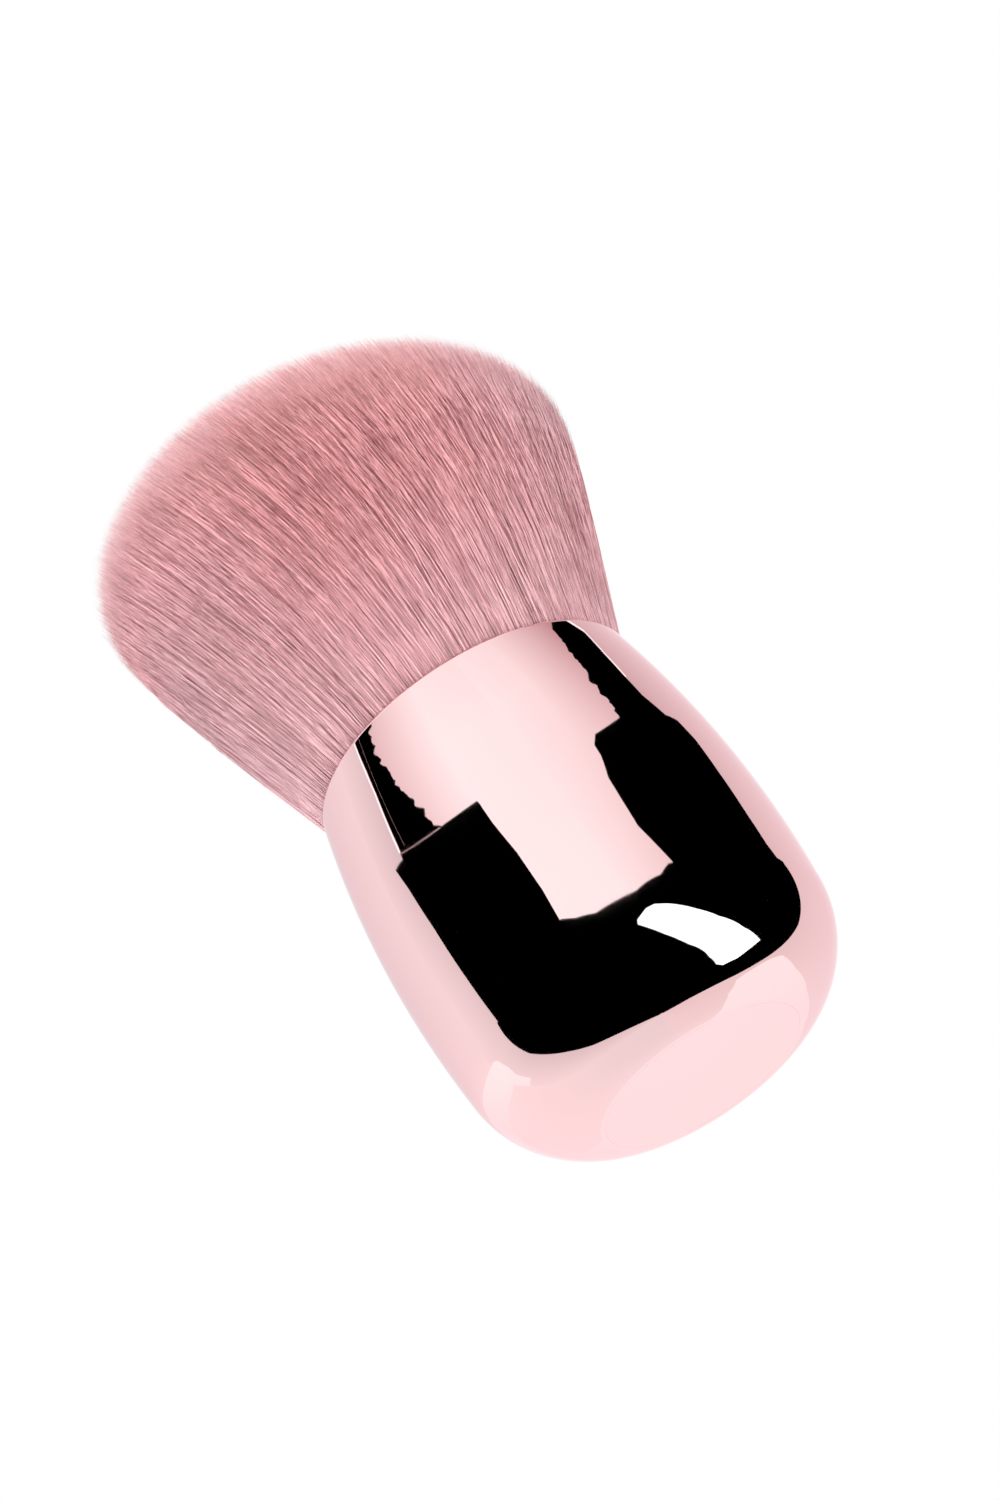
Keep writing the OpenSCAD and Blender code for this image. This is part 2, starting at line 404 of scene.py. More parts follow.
        # painted shade: dark dashes of the shade colour along each strand for the gaps between strands,
        # weaker on the left
        spot = graph.field("ShaderNodeCombineXYZ", {0: height, 1: graph.attribute("tone")})
        shade_dash = graph.ramp(graph.noise(spot, self.shade_dashes_per_metre), *self.shade_dash_cut)
        depth = graph.ramp(along, *self.shade_dash_depth) * (1.0 - left * self.left_shade_dash_loss)
        graph.feed(shader.inputs["Base Color"], graph.blend(shade_dash * depth, lit, opaque(self.shade)))
        graph.feed(shader.inputs["Roughness"], graph.ramp(shade_dash, *self.dash_roughness))
        shader.inputs["Sheen Weight"].default_value = self.sheen
        shader.inputs["Specular IOR Level"].default_value = self.gloss
        return material


@dataclass(frozen=True)
class CoreFinish(Finish):
    """Packed fibre deep in the tuft, seen only between the strands; its darker streaks are painted shade
    among the deep fibres.
    """

    name: str
    shade: Colour = (0.52, 0.21, 0.23)
    light: Colour = (0.82, 0.40, 0.42)
    streaks_per_metre: float = 3200.0
    streak_stretch: Axes = (1.0, 1.0, 0.1)
    streak_depth: float = 0.3
    light_share: Stops = ((0.35, 0.0), (0.65, 1.0))
    roughness: Stops = ((0.3, 0.95), (0.7, 0.8))

    def build(self) -> bpy.types.Material:
        """Makes the packed fibre's material.

        Returns:
            The material.
        """
        material, graph, shader = self.start()
        streak = graph.noise(graph.place(self.streak_stretch), self.streaks_per_metre, detail=3.0)
        share = graph.ramp(streak, *self.light_share)
        mixed = graph.blend(share, opaque(self.shade), opaque(self.light))
        graph.feed(shader.inputs["Base Color"], mixed)
        graph.feed(shader.inputs["Roughness"], graph.ramp(streak, *self.roughness))
        self.bump(graph, shader, streak, self.streak_depth)
        return material


@dataclass(frozen=True)
class GrainFinish(Finish):
    """A plain inner material: one colour with a fine grain and a little relief."""

    name: str
    colour: Colour
    metallic: float = 0.0
    roughness: float = 0.5
    grain_per_metre: float = 900.0
    grain_stretch: Axes = (1.0, 1.0, 1.0)
    grain_depth: float = 0.01
    grain_band: Pair = (0.3, 0.7)
    contrast: float = 0.12
    dulling: float = 1.25

    def build(self) -> bpy.types.Material:
        """Makes the material.

        Returns:
            The material.
        """
        material, graph, shader = self.start()
        grain = graph.noise(graph.place(self.grain_stretch), self.grain_per_metre, detail=4.0)
        low, high = self.grain_band
        level = graph.ramp(grain, (low, 1.0 - self.contrast), (high, 1.0))
        graph.feed(shader.inputs["Base Color"], graph.scaled_colour(self.colour, level))
        shader.inputs["Metallic"].default_value = self.metallic
        dull = graph.ramp(grain, (low, self.roughness * self.dulling), (high, self.roughness))
        graph.feed(shader.inputs["Roughness"], dull)
        self.bump(graph, shader, grain, self.grain_depth)
        return material


@dataclass(frozen=True)
class Run:
    """A run of a turned outline: its points as (radius, height), and its outward normals there."""

    points: tuple[Pair, ...]
    normals: tuple[Pair, ...]

    @staticmethod
    def arc(centre: Pair, radius: float, start: float, end: float, steps: int, side: float = 1.0) -> "Run":
        """Makes an arc.

        Args:
            centre: Its centre.
            radius: Its radius.
            start: The angle of its first point.
            end: The angle of its last point.
            steps: Its number of steps.
            side: 1 where it bulges outwards, and -1 where it is hollow.

        Returns:
            The run.
        """
        angles = [math.radians(start + (end - start) * i / steps) for i in range(steps + 1)]
        ways = [(math.cos(a), math.sin(a)) for a in angles]
        points = tuple((centre[0] + radius * x, centre[1] + radius * z) for x, z in ways)
        return Run(points, tuple((side * x, side * z) for x, z in ways))

    @staticmethod
    def line(start: Pair, end: Pair, steps: int = 1) -> "Run":
        """Makes a straight run, whose outside lies to the right of the way along it.

        Args:
            start: Its first point.
            end: Its last point.
            steps: Its number of steps.

        Returns:
            The run.
        """
        across, up = end[0] - start[0], end[1] - start[1]
        length = math.hypot(across, up)
        points = tuple((start[0] + across * i / steps, start[1] + up * i / steps) for i in range(steps + 1))
        return Run(points, ((up / length, -across / length),) * (steps + 1))


@dataclass(frozen=True)
class Lathe:
    """Turns an outline round the Z axis into a closed mesh with exact normals."""

    segments: int = 288

    def spin(self, name: str, runs: Sequence[Run]) -> bpy.types.Mesh:
        """Turns runs that follow each other, anticlockwise seen with the radius to the right.

        Args:
            name: The mesh's name.
            runs: The runs. The last ends where the first starts, or both ends lie on the axis.

        Returns:
            The mesh, in metres.
        """
        rings = [runs[0].points[0]]
        strips = []
        for run in runs:
            for k in range(1, len(run.points)):
                rings.append(run.points[k])
                strips.append((len(rings) - 2, len(rings) - 1, run.normals[k - 1], run.normals[k]))
        if rings[0][0] > 0.0:
            rings.pop()
            strips[-1] = (strips[-1][0], 0, *strips[-1][2:])
        turns = [math.tau * j / self.segments for j in range(self.segments)]
        ways = [(math.cos(a), math.sin(a)) for a in turns]
        vertices: list[Vector] = []
        first = []
        for radius, height in rings:
            first.append(len(vertices))
            around = ways if radius > 0.0 else [(0.0, 0.0)]
            vertices.extend(Vector((radius * x, radius * y, height)) * MM for x, y in around)
        faces: list[list[int]] = []
        normals: list[Vector] = []
        for low, high, low_normal, high_normal in strips:
            for j in range(self.segments):
                after = (j + 1) % self.segments
                corners = []
                for ring, turn, normal in ((low, j, low_normal), (low, after, low_normal),
                                           (high, after, high_normal), (high, j, high_normal)):
                    index = first[ring] + (turn if rings[ring][0] > 0.0 else 0)
                    if index not in [corner for corner, _ in corners]:
                        x, y = ways[turn]
                        corners.append((index, Vector((normal[0] * x, normal[0] * y, normal[1]))))
                faces.append([corner for corner, _ in corners])
                normals.extend(normal for _, normal in corners)
        mesh = bpy.data.meshes.new(name)
        mesh.from_pydata(vertices, [], faces)
        mesh.shade_smooth()
        mesh.normals_split_custom_set(normals)
        return mesh


def piece(
    mesh: bpy.types.Mesh, material: bpy.types.Material, slot: str, replaced: Iterable[str]
) -> bpy.types.Object:
    """Makes a finished piece of a mesh and puts it on the brush's body.

    Args:
        mesh: The mesh, in place. The piece takes its name.
        material: Its material.
        slot: The record's material slot. It is not used.
        replaced: The CAD nodes that it stands for.

    Returns:
        The piece.
    """
    made = bpy.data.objects.new(mesh.name, mesh)
    bpy.context.scene.collection.objects.link(made)
    mesh.materials.append(material)
    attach(made, BODY)
    for node in replaced:
        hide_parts(node)
    report(made)
    return made


@dataclass(frozen=True)
class Handle:
    """The plated handle: a barrel with a round lower corner, a thin lip and a disc set in its foot."""

    height: float = 38.0
    width: float = 36.0
    belly_z: float = 17.5
    mouth_draw: float = 2.3
    foot_width: float = 20.0
    corner_radius: float = 10.0
    wall: float = 2.0
    floor: float = 2.2
    mouth_wall: float = 0.7
    lip: float = 0.35
    lip_soft: float = 0.8
    lip_turn: float = 32.0
    lip_height: float = 1.2
    disc_radius: float = 9.5
    disc_height: float = 1.2
    seam: float = 0.004
    seam_round: float = 0.007
    pocket_radius: float = 8.1
    corner_steps: int = 44
    belly_steps: int = 64
    round_steps: int = 8

    @property
    def mouth_radius(self) -> float:
        """Outer radius at the mouth."""
        return self.width / 2 - self.mouth_draw

    def arcs(self) -> tuple[Pair, float, Pair, float, float, float]:
        """Works out the two arcs of the side, which meet without a bend.

        Returns:
            The belly arc's centre and radius, the corner arc's centre, and the angles of the foot's
            edge, of the place where the arcs meet and of the mouth's edge.
        """
        rise = self.height - self.belly_z
        belly_radius = (rise**2 + self.mouth_draw**2) / (2 * self.mouth_draw)
        belly = Vector((self.width / 2 - belly_radius, self.belly_z))
        foot = Vector((self.foot_width / 2, 0.0))
        reach = (foot - belly).length
        way = (foot - belly) / reach
        gap = belly_radius - self.corner_radius
        along = (gap**2 - self.corner_radius**2 + reach**2) / (2 * reach)
        aside = math.sqrt(gap**2 - along**2)
        corner = belly + along * way + aside * Vector((-way.y, way.x))
        foot_angle = math.degrees(math.atan2(foot.y - corner.y, foot.x - corner.x))
        meeting = math.degrees(math.atan2(corner.y - belly.y, corner.x - belly.x))
        mouth_angle = math.degrees(math.atan2(rise, self.mouth_radius - belly.x))
        return tuple(belly), belly_radius, tuple(corner), foot_angle, meeting, mouth_angle

    @staticmethod
    def centre_behind(point: Pair, radius: float, angle: float) -> Pair:
        """Returns the centre of the arc that passes through a point at an angle."""
        turn = math.radians(angle + 180.0)
        return point[0] + radius * math.cos(turn), point[1] + radius * math.sin(turn)

    def side_runs(self) -> list[Run]:
        """Returns the outside of the shell: round the corner, up the side and over the lip.

        Returns:
            Its four arcs.
        """
        belly, belly_radius, corner, foot_angle, meeting, mouth_angle = self.arcs()
        turn = math.radians(self.lip_turn)
        start = math.radians(mouth_angle)
        inset = self.lip_soft * (math.cos(start) - math.cos(turn))
        bead = (self.lip - inset) / (1.0 + math.cos(turn))
        climb = self.lip_soft * (math.sin(turn) - math.sin(start)) + bead * (1.0 - math.sin(turn))
        lip_angle = math.degrees(math.asin((self.height - climb - belly[1]) / belly_radius))
        round_corner = Run.arc(corner, self.corner_radius, foot_angle, meeting, self.corner_steps)
        edge = Run.arc(belly, belly_radius, meeting, lip_angle, self.belly_steps)
        soft_centre = self.centre_behind(edge.points[-1], self.lip_soft, lip_angle)
        shoulder = Run.arc(soft_centre, self.lip_soft, lip_angle, self.lip_turn, self.round_steps)
        bead_centre = self.centre_behind(shoulder.points[-1], bead, self.lip_turn)
        crown = Run.arc(bead_centre, bead, self.lip_turn, 180.0, self.round_steps)
        return [round_corner, edge, shoulder, crown]

    def shell_runs(self) -> list[Run]:
        """Works out the outline of the shell: its outside, the bore, the floor and the recess in the foot.

        Returns:
            The closed outline, from the foot's edge round to the foot's edge.
        """
        outside = self.side_runs()
        corner = self.arcs()[2]
        bore = self.mouth_radius - self.mouth_wall
        lip_foot = (bore, self.height - self.lip_height)
        inner = self.corner_radius - self.wall
        floor_angle = math.degrees(math.asin((self.floor - corner[1]) / inner))
        bore_angle = math.degrees(math.acos((bore - corner[0]) / inner))
        floor_edge = (corner[0] + inner * math.cos(math.radians(floor_angle)), self.floor)
        bore_foot = (bore, corner[1] - inner * math.sin(math.radians(bore_angle)))
        recess = self.disc_radius + self.seam
        soft = self.seam_round
        return outside + [
            Run.line(outside[-1].points[-1], lip_foot),
            Run.line(lip_foot, bore_foot, self.round_steps),
            Run.arc(corner, inner, -bore_angle, floor_angle, self.round_steps, -1.0),
            Run.line(floor_edge, (self.pocket_radius, self.floor)),
            Run.line((self.pocket_radius, self.floor), (self.pocket_radius, self.disc_height)),
            Run.line((self.pocket_radius, self.disc_height), (recess, self.disc_height)),
            Run.line((recess, self.disc_height), (recess, soft)),
            Run.arc((recess + soft, soft), soft, 180.0, 270.0, self.round_steps),
            Run.line((recess + soft, 0.0), (self.foot_width / 2, 0.0)),
        ]

    def disc_runs(self) -> list[Run]:
        """Works out the outline of the disc that closes the foot.

        Returns:
            The outline, from the axis to the axis.
        """
        soft = self.seam_round
        return [
            Run.line((0.0, 0.0), (self.disc_radius - soft, 0.0), self.round_steps),
            Run.arc((self.disc_radius - soft, soft), soft, 270.0, 360.0, self.round_steps),
            Run.line((self.disc_radius, soft), (self.disc_radius, self.disc_height)),
            Run.line((self.disc_radius, self.disc_height), (0.0, self.disc_height)),
        ]

    def build(self) -> None:
        """Builds the shell and the disc, plated alike."""
        lathe = Lathe()
        shell = PlatedFinish("rose_plating").build()
        piece(lathe.spin("plated_handle", self.shell_runs()), shell, "plated_shell", ["handle_shell"])
        disc = PlatedFinish("rose_plating_disc", swell_depth=0.002).build()
        piece(lathe.spin("foot_disc", self.disc_runs()), disc, "plated_cap", ["base_cap"])


@dataclass(frozen=True)
class TuftShape:
    """The outer form of the tuft: strands that fan out from the mouth, and a dome of tips.

    The strands bend up a little, swirl about the axis and stand higher on -X, as a used tuft's do.
    """

    root_z: float = 31.0
    root_radius: float = 13.2
    mouth_z: float = 38.0
    mouth_radius: float = 15.2
    shoulder_z: float = 62.1
    shoulder_radius: float = 22.85
    bend: float = 0.08
    dome_rise: float = 12.8
    dome_power: float = 1.79
    lean_x: float = 1.05
    lean_y: float = -0.15
    tilt_x: float = -2.4
    tilt_y: float = -1.3
    swirl: float = 23.0
    full_height: float = 76.0
    lean_power: float = 1.5

    def radius(self, z: float) -> float:
        """Works out the radius of the outermost strands, or of where they would go on to.

        Args:
            z: The height.

        Returns:
            The radius there.
        """
        up = max(0.0, z - self.mouth_z) / (self.shoulder_z - self.mouth_z)
        down = max(0.0, self.mouth_z - z) / (self.mouth_z - self.root_z)
        flare = (self.shoulder_radius - self.mouth_radius) * (up - self.bend * up**3) / (1.0 - self.bend)
        return self.mouth_radius + flare + (self.root_radius - self.mouth_radius) * down

    def tip_z(self, share: float, angle: float) -> float:
        """Works out the height of the tips.

        Args:
            share: The share of the radius.
            angle: The angle, in radians.

        Returns:
            The height there.
        """
        dome = self.dome_rise * math.sqrt(max(0.0, 1.0 - share**self.dome_power))
        tilt = self.tilt_x * math.cos(angle) + self.tilt_y * math.sin(angle)
        return self.shoulder_z + dome + share * tilt

    def lean(self, z: float) -> Pair:
        """Returns how far the tuft's middle has moved sideways at a height."""
        up = max(0.0, z - self.mouth_z) / (self.full_height - self.mouth_z)
        return self.lean_x * up**self.lean_power, self.lean_y * up**self.lean_power


class StrandInput(str, Enum):
    """Names of the inputs of the strand tree."""

    COUNT = "Strands"
    SEED = "Seed"
    FIRST = "First angle"
    SPAN = "Angle span"
    INNER = "Inner share"
    OUTER = "Outer share"
    LENGTH = "Strand length"
    WIDTH = "Strand width"
    TAPER = "Taper length"
    SCATTER = "Tip scatter"
    SWAY = "Tip sway"
    CLUMP = "Clump sway"
    WANDER = "Root wander"
    TWIST = "Root twist"
    WAVE = "Wave depth"
    SEGMENTS = "Strand segments"
    MATERIAL = "Strand material"


@dataclass(frozen=True)
class StrandTree:
    """The Geometry Nodes tree that grows strands inside the tuft's outer form.

    Each pair is the range of a random number: of a strand's girth against its width, of its root's
    stray, and of the angle in radians through which it waves.
    """

    shape: TuftShape
    clumps_per_radius: float = 9.0
    even_power: float = 0.8
    girths: Pair = (0.75, 1.2)
    wanders: Pair = (-1.0, 0.6)
    pitches: Pair = (4.0, 11.0)
    turn_pitch: float = 1.3
    turn_wave: float = 0.4
    taper_power: float = 0.7
    shoulder_along: float = 0.7
    tip_reach: float = 8.0

    def sockets(self, tree: bpy.types.NodeTree) -> None:
        """Args:
            tree: The new tree.
        """
        kinds = {
            StrandInput.COUNT: "NodeSocketInt",
            StrandInput.SEED: "NodeSocketInt",
            StrandInput.SEGMENTS: "NodeSocketInt",
            StrandInput.MATERIAL: "NodeSocketMaterial",
        }
        interface = tree.interface
        for entry in StrandInput:
            kind = kinds.get(entry, "NodeSocketFloat")
            interface.new_socket(name=entry.value, in_out="INPUT", socket_type=kind)
        interface.new_socket(name="Geometry", in_out="OUTPUT", socket_type="NodeSocketGeometry")

    def radius(self, graph: Graph, z: Field) -> Field:
        """Writes TuftShape.radius as nodes.

        Args:
            graph: The tree's graph.
            z: The heights, in metres.

        Returns:
            The radius at each height, in metres.
        """
        shape = self.shape
        up = graph.math("MAXIMUM", z - shape.mouth_z * MM, 0.0) / ((shape.shoulder_z - shape.mouth_z) * MM)
        below = graph.math("MAXIMUM", shape.mouth_z * MM - z, 0.0)
        flare = (shape.shoulder_radius - shape.mouth_radius) * MM / (1.0 - shape.bend)
        inward = (shape.root_radius - shape.mouth_radius) / (shape.mouth_z - shape.root_z)
        return (up - up**3.0 * shape.bend) * flare + below * inward + shape.mouth_radius * MM

    def tip_z(self, graph: Graph, share: Field, cosine: Field, sine: Field) -> Field:
        """Writes TuftShape.tip_z as nodes.

        Args:
            graph: The tree's graph.
            share: The share of the radius.
            cosine: The cosine of the angle.
            sine: The sine of the angle.

        Returns:
            The height of the tips, in metres.
        """
        shape = self.shape
        dome = graph.math("SQRT", 1.0 - share**shape.dome_power) * (shape.dome_rise * MM)
        tilt = (cosine * (shape.tilt_x * MM) + sine * (shape.tilt_y * MM)) * share
        return dome + tilt + shape.shoulder_z * MM

    def draw(self, graph: Graph, value: dict[StrandInput, Field]) -> dict[str, Field]:
        """Draws what each strand carries: its place, its length and its own small differences.

        Args:
            graph: The tree's graph.
            value: The tree's inputs.

        Returns:
            The numbers that each strand carries, by name.
        """
        draws = count()

        def chance(low: float = 0.0, high: float = 1.0) -> Field:
            """Returns a random number for each strand."""
            seed = value[StrandInput.SEED] + float(next(draws))
            return graph.field("FunctionNodeRandomValue", {2: low, 3: high, 8: seed}, 1)

        inner, outer = value[StrandInput.INNER], value[StrandInput.OUTER]
        share = graph.math("SQRT", inner * inner + (outer * outer - inner * inner) * chance())
        angle = value[StrandInput.FIRST] + value[StrandInput.SPAN] * chance()
        cosine, sine = graph.math("COSINE", angle), graph.math("SINE", angle)
        spot = graph.field("ShaderNodeCombineXYZ", {0: cosine * share, 1: sine * share})
        clump = graph.noise(spot, self.clumps_per_radius, detail=3.0)
        shift = graph.noise(spot, self.clumps_per_radius, detail=1.0, output="Color")
        drift = graph.add("ShaderNodeSeparateXYZ", {0: shift})
        drift_x, drift_y = Field(graph, drift.outputs[0]) - 0.5, Field(graph, drift.outputs[1]) - 0.5
        short = chance() * chance() * value[StrandInput.SCATTER]
        notch = graph.math("ABSOLUTE", clump - 0.5) * value[StrandInput.CLUMP]
        tip = self.tip_z(graph, share, cosine, sine) - short - notch
        start = graph.math("MAXIMUM", tip - value[StrandInput.LENGTH], self.shape.root_z * MM)
        return {
            "share": share, "tip": tip, "start": start,
            "girth": chance(*self.girths) * value[StrandInput.WIDTH], "tone": chance(), "clump": clump,
            "wander": chance(*self.wanders) * value[StrandInput.WANDER],
            "twist": chance(-1.0, 1.0) * value[StrandInput.TWIST], "angle": angle,
            "phase": chance(0.0, math.tau), "pitch": chance(*self.pitches),
            "sway_x": chance(-1.0, 1.0) * chance() * value[StrandInput.SWAY]
            + drift_x * value[StrandInput.CLUMP],
            "sway_y": chance(-1.0, 1.0) * chance() * value[StrandInput.SWAY]
            + drift_y * value[StrandInput.CLUMP],
        }

    def bend(self, graph: Graph, value: dict[StrandInput, Field], cones: Field) -> Field:
        """Bends upright cones of height 1 into strands, and writes how far along the tuft each point is.

        Args:
            graph: The tree's graph.
            value: The tree's inputs.
            cones: The cones, which carry what draw returns.

        Returns:
            The strands, each from its start to its tip.
        """
        shape = self.shape

        def read(name: str) -> Field:
            """Returns a number that the strand carries."""
            return graph.field("GeometryNodeInputNamedAttribute", {0: name})

        place = graph.field("GeometryNodeInputPosition")
        local = graph.add("ShaderNodeSeparateXYZ", {0: place})
        even = graph.math("MINIMUM", Field(graph, local.outputs[2]), 1.0) ** self.even_power
        strands = graph.field("GeometryNodeStoreNamedAttribute", {0: cones, 2: "up", 3: even})
        flat = graph.field("ShaderNodeVectorMath", {0: place, 1: (1.0, 1.0, 0.0)}, operation="MULTIPLY")
        side = graph.field("ShaderNodeVectorMath", {0: flat}, operation="NORMALIZE")
        up = read("up")
        z = read("start") + (read("tip") - read("start")) * up
        back = 1.0 - up
        phase = read("phase") + up * read("pitch")
        wave = value[StrandInput.WAVE]
        depth = read("share") + back * read("wander") + graph.math("SINE", phase) * wave
        out = self.radius(graph, z) * graph.math("MINIMUM", depth, 1.0)
        mouth_stop, top_stop = (shape.mouth_z * MM, 0.0), (shape.full_height * MM, 1.0)
        climb = graph.ramp(z, mouth_stop, top_stop)
        tip_climb = graph.ramp(read("tip"), mouth_stop, top_stop)
        swirl = (tip_climb * tip_climb - climb * climb) * math.radians(shape.swirl)
        sideways = graph.math("SINE", phase * self.turn_pitch) * wave * self.turn_wave
        turn = read("angle") + back * read("twist") + sideways + swirl
        lean = climb**shape.lean_power
        loose = climb * climb
        x = out * graph.math("COSINE", turn) + lean * (shape.lean_x * MM) + loose * read("sway_x")
        y = out * graph.math("SINE", turn) + lean * (shape.lean_y * MM) + loose * read("sway_y")
        near_tip = graph.math("MINIMUM", (read("tip") - z) / value[StrandInput.TAPER], 1.0)
        half = read("girth") * graph.math("MAXIMUM", near_tip, 0.0) ** self.taper_power * 0.5
        middle = graph.field("ShaderNodeCombineXYZ", {0: x, 1: y, 2: z})
        edge = graph.field("ShaderNodeVectorMath", {0: side, "Scale": half}, operation="SCALE")
        spot = graph.field("ShaderNodeVectorMath", {0: middle, 1: edge}, operation="ADD")
        by_height = graph.ramp(z, mouth_stop, (shape.shoulder_z * MM, self.shoulder_along))
        by_tip = graph.ramp(read("tip") - z, (0.0, 1.0), (self.tip_reach * MM, 0.0))
        strands = graph.field("GeometryNodeStoreNamedAttribute", {
            0: strands, 2: "along", 3: graph.math("MAXIMUM", by_height, by_tip)})
        return graph.field("GeometryNodeSetPosition", {0: strands, 2: spot})

    def build(self) -> bpy.types.NodeTree:
        """Builds the tree.

        Returns:
            The tree: it scatters points, stands one tapered strand on each, and bends it into place.
        """
        tree = bpy.data.node_groups.new("tuft_strands", "GeometryNodeTree")
        self.sockets(tree)
        graph = Graph(tree)
        given = graph.add("NodeGroupInput")
        value = {entry: Field(graph, given.outputs[entry.value]) for entry in StrandInput}
        points = graph.field("GeometryNodePoints", {"Count": value[StrandInput.COUNT]})
        for name, number in self.draw(graph, value).items():
            points = graph.field("GeometryNodeStoreNamedAttribute", {0: points, 2: name, 3: number})
        cone = graph.field("GeometryNodeMeshCone", {
            "Vertices": 3, "Side Segments": value[StrandInput.SEGMENTS], "Radius Top": 0.0,
            "Radius Bottom": 1.0, "Depth": 1.0})
        stood = graph.field("GeometryNodeInstanceOnPoints", {0: points, 2: cone})
        cones = graph.field("GeometryNodeRealizeInstances", {0: stood})
        strands = self.bend(graph, value, cones)
        strands = graph.field("GeometryNodeSetShadeSmooth", {0: strands})
        strands = graph.field("GeometryNodeSetMaterial", {0: strands, 2: value[StrandInput.MATERIAL]})
        graph.add("NodeGroupOutput", {0: strands})
        return tree


@dataclass(frozen=True)
class StrandLayer:
    """One layer of the tuft: how its strands are spread, and how many pieces it is split into."""

    name: str
    strands: int
    pieces: int
    inner_share: float
    outer_share: float
    length: float
    segments: int
    width: float
    taper: float = 6.0
    scatter: float = 1.0
    sway: float = 0.9
    clump_sway: float = 0.8
    wander: float = 0.06
    twist: float = 6.0
    wave: float = 0.02
    seed: int = 11
    seed_step: ClassVar[int] = 100

    def inputs(self, index: int, material: bpy.types.Material) -> dict[StrandInput, object]:
        """Returns the inputs of the strand tree for one piece of the layer.

        Args:
            index: The piece's place in the layer.
            material: The strands' material.

        Returns:
            A value for each input.
        """
        span = math.tau / self.pieces
        return {
            StrandInput.COUNT: self.strands // self.pieces,
            StrandInput.SEED: self.seed + self.seed_step * index,
            StrandInput.FIRST: span * index,
            StrandInput.SPAN: span,
            StrandInput.INNER: self.inner_share,
            StrandInput.OUTER: self.outer_share,
            StrandInput.LENGTH: self.length * MM,
            StrandInput.WIDTH: self.width * MM,
            StrandInput.TAPER: self.taper * MM,
            StrandInput.SCATTER: self.scatter * MM,
            StrandInput.SWAY: self.sway * MM,
            StrandInput.CLUMP: self.clump_sway * MM,
            StrandInput.WANDER: self.wander,
            StrandInput.WAVE: self.wave,
            StrandInput.TWIST: math.radians(self.twist),
            StrandInput.SEGMENTS: self.segments,
            StrandInput.MATERIAL: material,
        }


